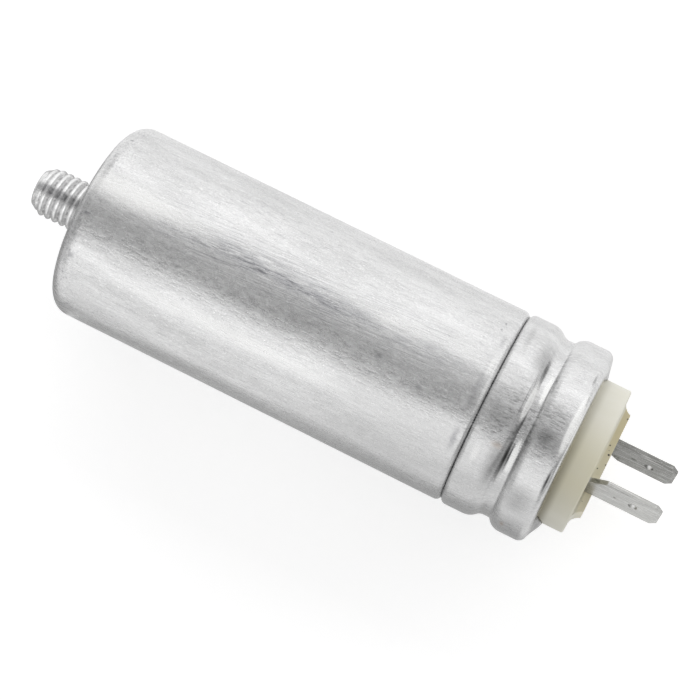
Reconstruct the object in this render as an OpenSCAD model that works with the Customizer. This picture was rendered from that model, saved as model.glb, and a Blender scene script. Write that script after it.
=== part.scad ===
// Motor run capacitor: an impact-extruded aluminium can with its own M8 stud, a wound film element
// potted inside it, and a moulded terminal cover with two push-on tabs held under the rolled rim.
// Millimetres. +X runs along the can from the stud to the tabs, and +Z is up when it lies on its side.
// The origin is the centre of the can's base, at the root of the stud.

/* [Can] */
// Outer diameter of the can's side wall
can_d = 32; // [30:0.5:36]
// Length from the base to the outer corner of the rolled rim
can_l = 82; // [70:0.5:110]
// Thickness of the drawn side wall
wall_t = 0.55; // [0.45:0.05:0.6]
// Thickness of the base around the stud
base_t = 1.2; // [1:0.1:2]
// Radius of the corner between the base and the side wall
base_corner_r = 3; // [2:0.1:3.5]

/* [Stud] */
// Major diameter of the mounting stud
stud_d = 8; // [6:1:10]
// Length of the stud from the base to its tip
stud_l = 10; // [8:0.5:12]
// Chamfer at the tip of the stud
stud_chamfer = 0.9; // [0.5:0.1:1.2]

/* [Rolled neck] */
// Distance from the rim's outer corner back to the narrow fold
fold_back = 14.2; // [13.5:0.1:16]
// Radius of the two shoulders that meet at the bottom of the narrow fold
fold_r = 1; // [0.8:0.1:1.2]
// How far each shoulder of the narrow fold turns inwards, in degrees
fold_turn = 81; // [60:1:85]
// Distance from the rim's outer corner back to the middle of the wide groove
neck_back = 6.9; // [6.8:0.05:7]
// Depth of the wide groove below the side wall
neck_depth = 1.15; // [1.1:0.05:1.2]
// Width of the slope from the bead down into the wide groove
bead_slope_w = 3; // [2.8:0.1:3.2]
// Radius of the shoulder at the top of the bead's slope
bead_shoulder_r = 3; // [2.4:0.1:3.2]
// Width of the slope from the wide groove up to the rim
rim_slope_w = 2.4; // [2.4:0.1:2.6]
// Radius of the shoulder at the top of the rim's slope
rim_shoulder_r = 2.5; // [2.2:0.1:2.6]
// Width of the bottom of the wide groove
neck_floor_w = 0.8; // [0.6:0.1:1]
// How far the bead stands proud of the side wall
bead_rise = 0.05; // [0:0.05:0.1]
// How far the rolled rim stands proud of the side wall
rim_rise = 0.1; // [0:0.05:0.2]
// Radius of the rim's outer corner
rim_corner_r = 1.4; // [1.2:0.1:1.6]
// Slope of the rolled lip, in degrees
lip_slope = 15; // [10:1:18]

/* [Terminal cover] */
// Diameter of the round boss that stands out of the rim
cover_d = 24; // [22:0.5:25]
// Height of the boss above the rim's outer corner
cover_h = 4.7; // [4:0.1:6]
// Diameter of the recess under the boss
cover_recess_d = 18; // [18:0.5:19]
// Radius of the rounded edge at the front of the cover
cover_edge_r = 0.4; // [0.2:0.1:0.6]
// Thickness of the roof that carries the tabs
cover_roof_t = 2.6; // [2:0.1:3]
// Height of the barrier between the tabs
barrier_h = 1.4; // [1:0.1:1.8]
// Thickness of the barrier
barrier_t = 3; // [2:0.1:3.4]
// Length of the barrier along its top
barrier_l = 17.8; // [16:0.1:19]
// Radius of the hollow curve at each end of the barrier
barrier_cove_r = 2; // [1.8:0.1:2.4]

/* [Tabs] */
// Width of a tab's blade
tab_w = 6.3; // [6:0.1:6.4]
// Thickness of a tab
tab_t = 0.8; // [0.6:0.1:0.8]
// Height of a tab above the cover
tab_h = 11.8; // [10:0.1:13]
// Width of a tab's foot, where it goes through the cover
tab_foot_w = 4.5; // [4:0.1:4.7]
// Height of the foot before the blade widens
tab_foot_h = 0.2; // [0.1:0.1:0.6]
// Height over which the blade widens
tab_flare_h = 2.5; // [1:0.1:3]
// Chamfer at each corner of a tab's end
tab_chamfer = 1; // [0.7:0.1:1.2]
// Diameter of the latching hole
tab_hole_d = 1.5; // [1.3:0.1:1.8]
// Distance from a tab's end to the latching hole
tab_hole_back = 4.3; // [3.6:0.1:4.7]
// Diameter of the punch mark in one face of a tab
tab_mark_d = 0.6; // [0.4:0.1:0.8]
// Distance from the latching hole to the punch mark
tab_mark_back = 3; // [2:0.1:3.2]
// Clear gap between a tab and the barrier
tab_gap = 0.35; // [0.2:0.05:0.6]
// Offset of each tab along the barrier, to either side of the middle
tab_offset = 5.5; // [4:0.1:5.8]
// Turn of the cover and its tabs about the can's axis, in degrees
cover_turn = 22; // [0:1:45]

/* [Inside] */
// Diameter of the wound film element
winding_d = 27.2; // [25:0.1:28]
// Outer diameter of the tube that the film is wound on
core_d = 9; // [7:0.5:10]
// Bore of the tube that the film is wound on
core_bore = 6.4; // [5:0.2:6.4]
// Thickness of the metal sprayed on each end of the film
spray_t = 0.5; // [0.4:0.1:0.8]
// Thickness of the insulating cup
cup_t = 0.65; // [0.5:0.05:0.8]
// Depth of resin over the top of the film
resin_top_t = 3; // [2:0.1:4]
// Depth of resin under the film
resin_bottom_t = 1; // [1:0.1:1.5]
// Thickness of the insulating disc on the resin
disc_t = 1; // [0.8:0.1:1.2]
// Diameter of the lead wires
lead_d = 0.8; // [0.6:0.1:0.8]
// Outer diameter of the sleeve on the long lead
sleeve_d = 2.4; // [2:0.1:3]
// How far the rubber seal reaches above the top of the rim's slope
seal_rise = 0.1; // [0.05:0.05:0.3]

/* [Hidden] */

$fn = 96;
arc_steps = 6;
past = 1;                                   // how far a cutter runs past what it cuts
play = 0.1;                                 // free play between pieces that are dropped into place

can_r = can_d / 2;
bore_r = can_r - wall_t;
inner_corner_r = base_corner_r - wall_t;
inner_corner = [bore_r - inner_corner_r, base_t + inner_corner_r];
bead_r = can_r + bead_rise;
rim_r = can_r + rim_rise;

// Heights up the can, from the base
fold_z = can_l - fold_back;
fold_dz = fold_r * sin(fold_turn);
neck_z = can_l - neck_back;
neck_lo = neck_z - neck_floor_w / 2;
neck_hi = neck_z + neck_floor_w / 2;
neck_r = can_r - neck_depth;
bead_turn = 2 * atan((bead_r - neck_r) / bead_slope_w);
bead_foot_r = bead_slope_w / sin(bead_turn) - bead_shoulder_r;
bead_top = [bead_r - bead_shoulder_r, neck_lo - bead_slope_w];
bead_foot = [neck_r + bead_foot_r, neck_lo];
rim_turn = 2 * atan((rim_r - neck_r) / rim_slope_w);
rim_foot_r = rim_slope_w / sin(rim_turn) - rim_shoulder_r;
rim_foot = [neck_r + rim_foot_r, neck_hi];
rim_top = [rim_r - rim_shoulder_r, neck_hi + rim_slope_w];
seal_z = rim_top[1] - (rim_shoulder_r - wall_t) * sin(rim_turn);    // where the rim's slope is steepest
lip_turn = 90 - lip_slope;
rim_c = [rim_r - rim_corner_r, can_l - rim_corner_r * sin(lip_turn)];
lip_edge_r = cover_d / 2 + play;
lip_out = rim_c + rim_corner_r * [cos(lip_turn), sin(lip_turn)];
lip_in = rim_c + (rim_corner_r - wall_t) * [cos(lip_turn), sin(lip_turn)];
lip_out_z = lip_out[1] + (lip_out[0] - lip_edge_r) * tan(lip_slope);
lip_in_z = lip_in[1] + (lip_in[0] - lip_edge_r) * tan(lip_slope);
cover_z = can_l + cover_h;                  // top of the boss
flange_z = rim_top[1] + seal_rise;          // underside of the cover's flange
flange_r = rim_r - wall_t - play;
roof_z = cover_z - cover_roof_t;            // inner face of the roof

// The stack inside the can
cup_r = bore_r - cup_t;
resin_z = base_t + cup_t;
spray_lo_z = resin_z + resin_bottom_t;
disc_z = fold_z - fold_dz - disc_t - play;
resin_top_z = disc_z;
spray_hi_z = resin_top_z - resin_top_t;
cup_top_z = disc_z + disc_t;
lead_r = lead_d / 2;
lead_bend_r = 2 * lead_r;                   // centre line of a lead's bends
lead_sides = 24;

// The tabs, measured across the barrier (x), along it (y) and up the can (z)
tab_in_x = barrier_t / 2 + tab_gap;
tab_out_x = tab_in_x + tab_w;
tab_foot_x = tab_in_x + tab_foot_w;
tab_top_z = cover_z + tab_h;
tab_tail_l = 3.4;                           // length of the tail under the roof
tab_tail_z = roof_z - tab_tail_l;
tab_tip_t = tab_t * 0.6;                    // thickness at the bevelled end
tab_bevel_h = 0.9;
tab_mark_deep = 0.25;
joint_x = tab_in_x + tab_foot_w / 2;        // where a lead lies along a tail
joint_y = tab_offset + tab_t / 2 + lead_r;

// The leads, each bent in one plane: distance out along its foot (x) and height up the can (y)
lead_foot_l = 5;
lead_end_z = roof_z - 1.4;
sleeve_top_z = cup_top_z + 4;
sleeve_z = spray_lo_z + lead_d;
joint_r = norm([joint_x, joint_y]);
joint_a = atan2(joint_y, joint_x);
short_lead = [[lead_foot_l, spray_hi_z + lead_r], [0, spray_hi_z + lead_r], [0, lead_end_z]];
long_lead = [[joint_r + lead_foot_l, spray_lo_z - lead_r], [0, spray_lo_z - lead_r],
             [0, sleeve_top_z + 2], [joint_r, sleeve_top_z + 2], [joint_r, lead_end_z]];

metal = [0.78, 0.78, 0.79];
ivory = [0.87, 0.85, 0.77];
tin = [0.70, 0.69, 0.67];

// Points of an arc of radius r about c, from angle a to angle b
function arc(c, r, a, b) =
    [for (i = [0 : arc_steps]) c + r * [cos(a + (b - a) * i / arc_steps), sin(a + (b - a) * i / arc_steps)]];

// Turns a shape built up the Z axis so that it lies along +X
module along_x() { rotate([0, 90, 0]) children(); }

// The same, in the directions of the barrier and the tabs
module in_cover() { along_x() rotate(180 - cover_turn) children(); }

// Half section of the can's outside: stud, base, side wall, fold, bead, groove, rim and lip
outer_section = concat(
    [[0, -stud_l], [stud_d / 2 - stud_chamfer, -stud_l], [stud_d / 2, stud_chamfer - stud_l], [stud_d / 2, 0]],
    arc([can_r - base_corner_r, base_corner_r], base_corner_r, -90, 0),
    arc([can_r - fold_r, fold_z - fold_dz], fold_r, 0, fold_turn),
    arc([bead_r - fold_r, fold_z + fold_dz], fold_r, -fold_turn, 0),
    arc(bead_top, bead_shoulder_r, 0, bead_turn),
    arc(bead_foot, bead_foot_r, 180 + bead_turn, 180),
    arc(rim_foot, rim_foot_r, 180, 180 - rim_turn),
    arc(rim_top, rim_shoulder_r, -rim_turn, 0),
    arc(rim_c, rim_corner_r, 0, lip_turn),
    [[lip_edge_r, lip_out_z]]);

// Half section of the can's inside, one wall thickness in from the outside
inner_section = concat(
    [[lip_edge_r, lip_in_z]],
    arc(rim_c, rim_corner_r - wall_t, lip_turn, 0),
    arc(rim_top, rim_shoulder_r - wall_t, 0, -rim_turn),
    arc(rim_foot, rim_foot_r + wall_t, 180 - rim_turn, 180),
    arc(bead_foot, bead_foot_r + wall_t, 180, 180 + bead_turn),
    arc(bead_top, bead_shoulder_r - wall_t, bead_turn, 0),
    arc([bead_r - fold_r, fold_z + fold_dz], fold_r - wall_t, 0, -fold_turn),
    arc([can_r - fold_r - wall_t * 0.2, fold_z], wall_t * 0.9, 150, 210),
    arc([can_r - fold_r, fold_z - fold_dz], fold_r - wall_t, fold_turn, 0),
    arc(inner_corner, inner_corner_r, 0, -90),
    [[0, base_t]]);

// The can, drawn in one piece with its stud
module can() {
    color(metal) along_x() rotate_extrude() polygon(concat(outer_section, inner_section));
}

// A tab's outline, seen square on to its blade, with the barrier to its left
module tab_outline() {
    difference() {
        polygon([[tab_in_x, tab_tail_z], [tab_foot_x, tab_tail_z],
                 [tab_foot_x, cover_z + tab_foot_h],
                 [tab_out_x, cover_z + tab_foot_h + tab_flare_h],
                 [tab_out_x, tab_top_z - tab_chamfer], [tab_out_x - tab_chamfer, tab_top_z],
                 [tab_in_x + tab_chamfer, tab_top_z], [tab_in_x, tab_top_z - tab_chamfer]]);
        translate([tab_in_x + tab_w / 2, tab_top_z - tab_hole_back]) circle(d = tab_hole_d);
    }
}

// A tab's section through its thickness, bevelled at the end
module tab_section() {
    polygon([[-tab_t / 2, tab_tail_z], [tab_t / 2, tab_tail_z], [tab_t / 2, tab_top_z - tab_bevel_h],
             [tab_tip_t / 2, tab_top_z], [-tab_tip_t / 2, tab_top_z], [-tab_t / 2, tab_top_z - tab_bevel_h]]);
}

// The shallow cone that a pointed punch leaves in a tab's outer face
module punch_mark() {
    spread = tab_mark_d / tab_mark_deep;
    translate([tab_in_x + tab_w / 2, tab_offset + tab_t / 2 - tab_mark_deep,
               tab_top_z - tab_hole_back - tab_mark_back])
        rotate([-90, 0, 0]) cylinder(d1 = 0, d2 = spread * (tab_mark_deep + past), h = tab_mark_deep + past);
}

// One push-on tab, to the positive side of the barrier
module tab() {
    difference() {
        intersection() {
            translate([0, tab_offset + tab_t / 2, 0]) rotate([90, 0, 0]) linear_extrude(tab_t) tab_outline();
            translate([0, tab_offset, 0]) rotate([90, 0, 90]) linear_extrude(tab_out_x + past) tab_section();
        }
        punch_mark();
    }
}

module tab_near() { color(tin) in_cover() tab(); }

module tab_far() { color(tin) in_cover() rotate(180) tab(); }

// The barrier between the tabs: a bar across the boss whose ends sink to it in a hollow curve
module barrier() {
    cove_turn = acos(1 - barrier_h / barrier_cove_r);
    foot_r = barrier_l / 2 + barrier_cove_r * sin(cove_turn);
    intersection() {
        translate([0, 0, cover_z]) rotate_extrude()
            polygon(concat([[0, -past], [foot_r, -past]],
                           arc([foot_r, barrier_cove_r], barrier_cove_r, 270, 270 - cove_turn),
                           [[0, barrier_h]]));
        translate([-barrier_t / 2, -cover_d / 2, roof_z]) cube([barrier_t, cover_d, cover_d]);
    }
}

// The slot that a tab's foot goes through
module tab_slot() {
    translate([tab_in_x, tab_offset - tab_t / 2, roof_z - past])
        cube([tab_foot_w, tab_t, cover_roof_t + 2 * past]);
}

// The moulded cover: a flange under the rolled lip, a hollow round boss, and the barrier
module terminal_cover() {
    color(ivory) in_cover() difference() {
        union() {
            rotate_extrude() polygon(concat(
                [[0, flange_z], [flange_r, flange_z], [flange_r, rim_c[1]], lip_in, [cover_d / 2, lip_in_z]],
                arc([cover_d / 2 - cover_edge_r, cover_z - cover_edge_r], cover_edge_r, 0, 90),
                [[0, cover_z]]));
            barrier();
        }
        translate([0, 0, flange_z - past]) cylinder(d = cover_recess_d, h = roof_z - flange_z + past);
        tab_slot();
        rotate(180) tab_slot();
    }
}

// The rubber ring wedged between the slope inside the rim and the cover's flange
module rim_seal() {
    color([0.16, 0.16, 0.17]) along_x() rotate_extrude()
        polygon(concat([[cover_d / 2 + 1, seal_z]], arc(rim_top, rim_shoulder_r - wall_t, -rim_turn, 0),
                       [[rim_r - wall_t, flange_z], [cover_d / 2 + 1, flange_z]]));
}

// A ring of the can's axis, from height z over a length l
module ring(outer_d, inner_d, z, l) {
    along_x() translate([0, 0, z]) difference() {
        cylinder(d = outer_d, h = l);
        translate([0, 0, -past]) cylinder(d = inner_d, h = l + 2 * past);
    }
}

// The metallised film, wound into one roll
module film_winding() {
    color([0.62, 0.64, 0.66]) ring(winding_d, core_d, spray_lo_z + spray_t, spray_hi_z - spray_lo_z - 2 * spray_t);
}

// The tube that the film is wound on, open at the top of the resin
module core_tube() { color([0.93, 0.93, 0.90]) ring(core_d, core_bore, spray_lo_z, resin_top_z - spray_lo_z); }

module sprayed_end_lower() { color([0.60, 0.60, 0.62]) ring(winding_d, core_d, spray_lo_z, spray_t); }

module sprayed_end_upper() { color([0.60, 0.60, 0.62]) ring(winding_d, core_d, spray_hi_z - spray_t, spray_t); }

// The plastic cup that keeps the winding off the can
module insulating_cup() {
    color([0.90, 0.90, 0.86]) along_x() rotate_extrude()
        polygon(concat([[0, base_t]], arc(inner_corner, inner_corner_r, -90, 0),
                       [[bore_r, cup_top_z], [cup_r, cup_top_z]],
                       arc(inner_corner, inner_corner_r - cup_t, 0, -90), [[0, resin_z]]));
}

// A round wire along a list of points in one plane, with a quarter bend at each corner
module bent_wire(points) {
    last = len(points) - 1;
    rotate([90, 0, 0]) for (i = [0 : last - 1]) {
        run = points[i + 1] - points[i];
        way = run / norm(run);
        lead_in = i > 0 ? lead_bend_r : 0;
        lead_out = i < last - 1 ? lead_bend_r : 0;
        translate(points[i] + way * lead_in) rotate(atan2(way[1], way[0])) rotate([0, 90, 0])
            cylinder(r = lead_r, h = norm(run) - lead_in - lead_out, $fn = lead_sides);
        if (i < last - 1) {
            next = points[i + 2] - points[i + 1];
            turn = next / norm(next);
            left = cross(way, turn) > 0;
            translate(points[i + 1] + lead_bend_r * (turn - way))
                rotate(left ? atan2(-turn[1], -turn[0]) : atan2(way[1], way[0]))
                    rotate_extrude(angle = 90, $fn = 4 * lead_sides)
                        translate([lead_bend_r, 0]) circle(r = lead_r, $fn = lead_sides);
        }
    }
}

module short_wire() { translate([joint_x, joint_y, 0]) rotate(90) bent_wire(short_lead); }

module long_wire() { rotate(180 + joint_a) bent_wire(long_lead); }

// The lead from the upper end of the winding to the near tab
module lead_short() { color([0.80, 0.56, 0.36]) in_cover() short_wire(); }

// The lead from the lower end, up through the core tube to the far tab
module lead_long() { color([0.80, 0.56, 0.36]) in_cover() long_wire(); }

// The insulating sleeve on the long lead
module lead_sleeve() { color([0.75, 0.18, 0.15]) ring(sleeve_d, lead_d, sleeve_z, sleeve_top_z - sleeve_z); }

// The disc that lies on the resin and guides both leads
module insulating_disc() {
    color([0.55, 0.40, 0.26]) in_cover() difference() {
        translate([0, 0, disc_z]) cylinder(r = cup_r, h = disc_t);
        translate([0, 0, disc_z - past]) cylinder(d = sleeve_d, h = disc_t + 2 * past);
        translate([joint_x, joint_y, disc_z - past]) cylinder(r = lead_r, h = disc_t + 2 * past);
    }
}

// The resin around, under and over the winding
module potting_resin() {
    color([0.80, 0.70, 0.45]) difference() {
        along_x() rotate_extrude()
            polygon(concat([[0, resin_z]], arc(inner_corner, inner_corner_r - cup_t, -90, 0),
                           [[cup_r, resin_top_z], [core_d / 2, resin_top_z], [core_d / 2, spray_hi_z],
                            [winding_d / 2, spray_hi_z], [winding_d / 2, spray_lo_z], [0, spray_lo_z]]));
        in_cover() { short_wire(); long_wire(); }
    }
}

can();
terminal_cover();
rim_seal();
tab_near();
tab_far();
film_winding();
core_tube();
sprayed_end_lower();
sprayed_end_upper();
insulating_cup();
insulating_disc();
potting_resin();
lead_short();
lead_long();
lead_sleeve();
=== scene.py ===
"""The motor run capacitor: worn aluminium can, threaded stud, moulded cover and tinned tabs."""
import math

import bmesh
import bpy
from mathutils import Matrix, Vector, noise


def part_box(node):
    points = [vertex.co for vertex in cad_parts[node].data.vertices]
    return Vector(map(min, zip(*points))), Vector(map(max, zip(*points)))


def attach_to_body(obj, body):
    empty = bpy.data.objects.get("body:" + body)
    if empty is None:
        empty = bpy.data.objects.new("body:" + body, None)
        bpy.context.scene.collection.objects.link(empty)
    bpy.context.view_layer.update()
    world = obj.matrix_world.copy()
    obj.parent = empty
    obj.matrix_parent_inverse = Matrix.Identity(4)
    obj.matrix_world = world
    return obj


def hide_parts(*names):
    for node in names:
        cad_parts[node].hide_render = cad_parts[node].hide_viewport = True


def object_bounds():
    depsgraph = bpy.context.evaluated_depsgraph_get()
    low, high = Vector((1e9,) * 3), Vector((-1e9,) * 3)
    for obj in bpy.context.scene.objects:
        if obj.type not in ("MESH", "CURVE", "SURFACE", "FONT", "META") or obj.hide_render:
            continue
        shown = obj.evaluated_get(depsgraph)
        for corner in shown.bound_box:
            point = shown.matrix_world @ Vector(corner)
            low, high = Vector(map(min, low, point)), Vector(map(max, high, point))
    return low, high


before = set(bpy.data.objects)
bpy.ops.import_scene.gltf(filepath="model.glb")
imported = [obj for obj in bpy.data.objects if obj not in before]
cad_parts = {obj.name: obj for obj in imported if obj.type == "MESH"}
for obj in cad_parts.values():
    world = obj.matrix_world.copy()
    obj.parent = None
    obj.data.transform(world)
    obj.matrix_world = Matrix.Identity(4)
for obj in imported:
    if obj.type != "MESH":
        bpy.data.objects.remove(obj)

CAD_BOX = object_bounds()
MM = 0.001
QUARTER = math.pi / 2

# ---------------------------------------------------------------- sizes in mm
CAN_LOW, CAN_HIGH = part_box("can")
RIM_R = CAN_HIGH.z / MM          # the rim is the widest part of the can
STUD_L = -CAN_LOW.x / MM
LIP_END = CAN_HIGH.x / MM
RIM_RISE = 0.1                   # how far the rim and the bead stand proud of the side wall
BEAD_RISE = 0.05
BODY_R = RIM_R - RIM_RISE
BEAD_R = RIM_R - (RIM_RISE - BEAD_RISE)
WALL_T = 0.55
BASE_T = 1.2
CORNER_R = 3.0
BASE_HOLE_R = 0.5                # the outlines stop here, and a flat face closes the middle

LIP_R = 12.1                     # the cover comes through this opening
LIP_SLOPE = math.radians(15)
LIP_TURN = QUARTER - LIP_SLOPE
RIM_CORNER_R = 1.4
RIM_TOP = RIM_R - RIM_CORNER_R * (1 - math.cos(LIP_TURN))
CAN_L = LIP_END - (RIM_TOP - LIP_R) * math.tan(LIP_SLOPE)
RIM_CENTRE = (CAN_L - RIM_CORNER_R * math.sin(LIP_TURN), RIM_R - RIM_CORNER_R)

FOLD_BACK = 14.2                 # from the rim's outer corner back to the narrow fold
FOLD_X = CAN_L - FOLD_BACK
FOLD_R = 1.0
FOLD_TURN = math.radians(81)
FOLD_REACH = FOLD_R * math.sin(FOLD_TURN)
BODY_END = (FOLD_X - FOLD_REACH, BODY_R - FOLD_R)
BEAD_START = (FOLD_X + FOLD_REACH, BEAD_R - FOLD_R)

NECK_BACK = 6.9                  # from the rim's outer corner back to the middle of the wide groove
NECK_X = CAN_L - NECK_BACK
NECK_HALF = 0.4                  # half the width of the groove's bottom
NECK_LOW = NECK_X - NECK_HALF
NECK_HIGH = NECK_X + NECK_HALF
NECK_DEPTH = 1.15
NECK_R = BODY_R - NECK_DEPTH

BEAD_SLOPE_W = 3.0
BEAD_TOP_R = 3.0
BEAD_TURN = 2 * math.atan((BEAD_R - NECK_R) / BEAD_SLOPE_W)
BEAD_FOOT_R = BEAD_SLOPE_W / math.sin(BEAD_TURN) - BEAD_TOP_R
BEAD_TOP = (NECK_LOW - BEAD_SLOPE_W, BEAD_R - BEAD_TOP_R)
BEAD_FOOT = (NECK_LOW, NECK_R + BEAD_FOOT_R)

RIM_SLOPE_W = 2.4
RIM_TOP_R = 2.5
RIM_TURN = 2 * math.atan((RIM_R - NECK_R) / RIM_SLOPE_W)
RIM_FOOT_R = RIM_SLOPE_W / math.sin(RIM_TURN) - RIM_TOP_R
RIM_TOP_ARC = (NECK_HIGH + RIM_SLOPE_W, RIM_R - RIM_TOP_R)
RIM_FOOT = (NECK_HIGH, NECK_R + RIM_FOOT_R)

STUD_R = 4.0
STUD_SUNK = 0.3                  # how far the stud's skin runs into the base
STUD_TIP_L = 1.2
STUD_TIP_R = 2.7
STUD_FOOT_L = 0.6                # the thread's root widens here, up to the base
STUD_FOOT_RISE = 0.25
THREAD_PITCH = 1.25
THREAD_DEPTH = 0.6
THREAD_SHIFT = 0.31              # how far the crests lie towards the can
THREAD_CREST = 0.8               # under 1, the crests are broader than the roots
THREAD_STARTS = (0.4, STUD_TIP_L + 0.9)    # where it begins and is full, from the tip
THREAD_ENDS = (-0.9, -0.3)                 # where it fades out, along X

CAN_STEPS = 360                  # points round a ring
STUD_STEPS = 96
STUD_RINGS = 16                  # rings for each turn of the thread

UNEVEN = 0.025                   # half the depth of the side wall's long waves
WAVE_L = 11.0                    # their scale along the can
WAVE_TURN = 3.1                  # radius in noise space of their ring round the can
RIPPLE = 0.03                    # depth of the fine waves past the fold
RIPPLE_L = 2.2                   # their scale along and round the can
RIPPLE_W = 1.4
RIPPLE_SLICE = 7.0               # the slice of the noise that they are taken from
CREASE_PUSH = 0.75               # how far the bead bulges over the groove on the upper side
CREASE_HALF = 13.0               # half the bulge's length round the can
LIP_SINK = 0.75                  # how far the lip is pushed in on the upper side
LIP_RISE = (0.2, 0.35)           # how far it stands out elsewhere, and its swing towards -Y
DENTS = [                        # (x, distance round from the top), half sizes, depth
    ((74.3, -5.6), (0.7, 6.0), 0.35),
    ((74.1, 9.4), (0.6, 3.6), 0.2),
    ((81.2, -6.0), (0.5, 3.4), 0.12),
    ((66.0, -6.3), (1.4, 3.6), 0.1),
    ((58.4, -1.8), (1.6, 1.2), 0.05),
    ((51.0, -0.3), (1.5, 1.0), 0.05),
]


# ---------------------------------------------------------------- outlines
def arc(centre, radius, start, end, steps):
    """Points (x, r) along an arc; angle 0 points outward and 90 degrees along +X."""
    points = []
    for i in range(steps + 1):
        angle = start + (end - start) * i / steps
        x = centre[0] + radius * math.sin(angle)
        r = centre[1] + radius * math.cos(angle)
        points.append((x, r))
    return points


def straight(start, end, step):
    """Evenly spaced points between two ends, without the ends themselves."""
    count = max(1, round(math.dist(start, end) / step))
    points = []
    for i in range(1, count):
        share = i / count
        x = start[0] + (end[0] - start[0]) * share
        r = start[1] + (end[1] - start[1]) * share
        points.append((x, r))
    return points


def can_outside():
    """The can's outer outline, from the middle of its base to the edge of its lip."""
    points = [(0.0, BASE_HOLE_R)]
    points += straight((0.0, BASE_HOLE_R), (0.0, BODY_R - CORNER_R), 1.0)
    points += arc((CORNER_R, BODY_R - CORNER_R), CORNER_R, -QUARTER, 0, 12)
    points += straight((CORNER_R, BODY_R), (BODY_END[0], BODY_R), 0.8)
    points += arc(BODY_END, FOLD_R, 0, FOLD_TURN, 8)
    points += arc(BEAD_START, FOLD_R, -FOLD_TURN, 0, 8)
    points += straight((BEAD_START[0], BEAD_R), (BEAD_TOP[0], BEAD_R), 0.25)
    points += arc(BEAD_TOP, BEAD_TOP_R, 0, BEAD_TURN, 14)
    points += arc(BEAD_FOOT, BEAD_FOOT_R, math.pi + BEAD_TURN, math.pi, 8)[1:]
    points += straight((NECK_LOW, NECK_R), (NECK_HIGH, NECK_R), 0.2)
    points += arc(RIM_FOOT, RIM_FOOT_R, math.pi, math.pi - RIM_TURN, 5)
    points += arc(RIM_TOP_ARC, RIM_TOP_R, -RIM_TURN, 0, 12)[1:]
    points += straight((RIM_TOP_ARC[0], RIM_R), (RIM_CENTRE[0], RIM_R), 0.3)
    points += arc(RIM_CENTRE, RIM_CORNER_R, 0, LIP_TURN, 9)
    points += straight(points[-1], (LIP_END, LIP_R), 0.4)
    points += [(LIP_END - 0.03, LIP_R + 0.12), (LIP_END - 0.08, LIP_R + 0.02)]    # a rounded edge
    return points


def can_inside():
    """The can's inner outline, from its lip back to the middle of its base."""
    corner_r = CORNER_R - WALL_T
    points = [(LIP_END - WALL_T / math.cos(LIP_SLOPE), LIP_R)]
    points += arc(RIM_CENTRE, RIM_CORNER_R - WALL_T, LIP_TURN, 0, 4)
    points += arc(RIM_TOP_ARC, RIM_TOP_R - WALL_T, 0, -RIM_TURN, 6)
    points += arc(RIM_FOOT, RIM_FOOT_R + WALL_T, math.pi - RIM_TURN, math.pi, 6)
    points += arc(BEAD_FOOT, BEAD_FOOT_R + WALL_T, math.pi, math.pi + BEAD_TURN, 6)
    points += arc(BEAD_TOP, BEAD_TOP_R - WALL_T, BEAD_TURN, 0, 6)
    points += arc(BEAD_START, FOLD_R - WALL_T, 0, -FOLD_TURN, 3)
    points += arc((FOLD_X, BODY_R - FOLD_R), WALL_T, QUARTER, 3 * QUARTER, 3)[1:-1]
    points += arc(BODY_END, FOLD_R - WALL_T, FOLD_TURN, 0, 3)
    points += arc((BASE_T + corner_r, BODY_R - CORNER_R), corner_r, 0, -QUARTER, 5)
    points += [(BASE_T, 6.0), (BASE_T, BASE_HOLE_R)]
    return points


def smooth(low, high, value):
    """0 below low, 1 above high and a soft step between."""
    share = min(1.0, max(0.0, (value - low) / (high - low)))
    return share * share * (3 - 2 * share)


def thread_rise(x, angle):
    """How far the thread stands above its root at a place on the stud, from 0 to 1."""
    turn = (x - THREAD_SHIFT) / THREAD_PITCH - angle / (2 * math.pi)
    return abs(math.sin(math.pi * turn)) ** THREAD_CREST


def stud_radius(x, angle):
    """The stud's radius: a rounded tip, the thread, and a plain root at the base."""
    back = x + STUD_L
    root = STUD_R - THREAD_DEPTH
    if x > THREAD_ENDS[0]:
        core = root + STUD_FOOT_RISE * smooth(-STUD_FOOT_L, 0.0, x)
    else:
        core = STUD_TIP_R + (root - STUD_TIP_R) * math.sqrt(min(1.0, back / STUD_TIP_L))
    fade = smooth(*THREAD_STARTS, back) * (1 - smooth(*THREAD_ENDS, x))
    return core + (STUD_R - root) * thread_rise(x, angle) * fade


def stud_outline():
    """Where the rings of the stud lie along X."""
    count = round(STUD_L / THREAD_PITCH * STUD_RINGS)
    return [-STUD_L + (STUD_L + STUD_SUNK) * i / count for i in range(count + 1)]


# ---------------------------------------------------------------- meshes
def placed(name, data):
    """A new object in the scene for a mesh, a lamp or a lens."""
    made = bpy.data.objects.new(name, data)
    bpy.context.scene.collection.objects.link(made)
    return made


def turned(name, rings, steps):
    """A closed skin through rings, each a function of the angle that gives (x, r) in mm."""
    verts = []
    for ring in rings:
        for i in range(steps):
            angle = 2 * math.pi * i / steps
            x, r = ring(angle)
            verts.append((x * MM, r * math.sin(angle) * MM, r * math.cos(angle) * MM))
    faces = []
    for row in range(len(rings) - 1):
        for i in range(steps):
            after = (i + 1) % steps
            a = row * steps
            faces.append((a + i, a + after, a + steps + after, a + steps + i))
    first = tuple(reversed(range(steps)))
    last = tuple(range((len(rings) - 1) * steps, len(rings) * steps))
    mesh = bpy.data.meshes.new(name)
    mesh.from_pydata(verts, [], faces + [first, last])
    mesh.update()
    return finished(name, mesh)


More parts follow.
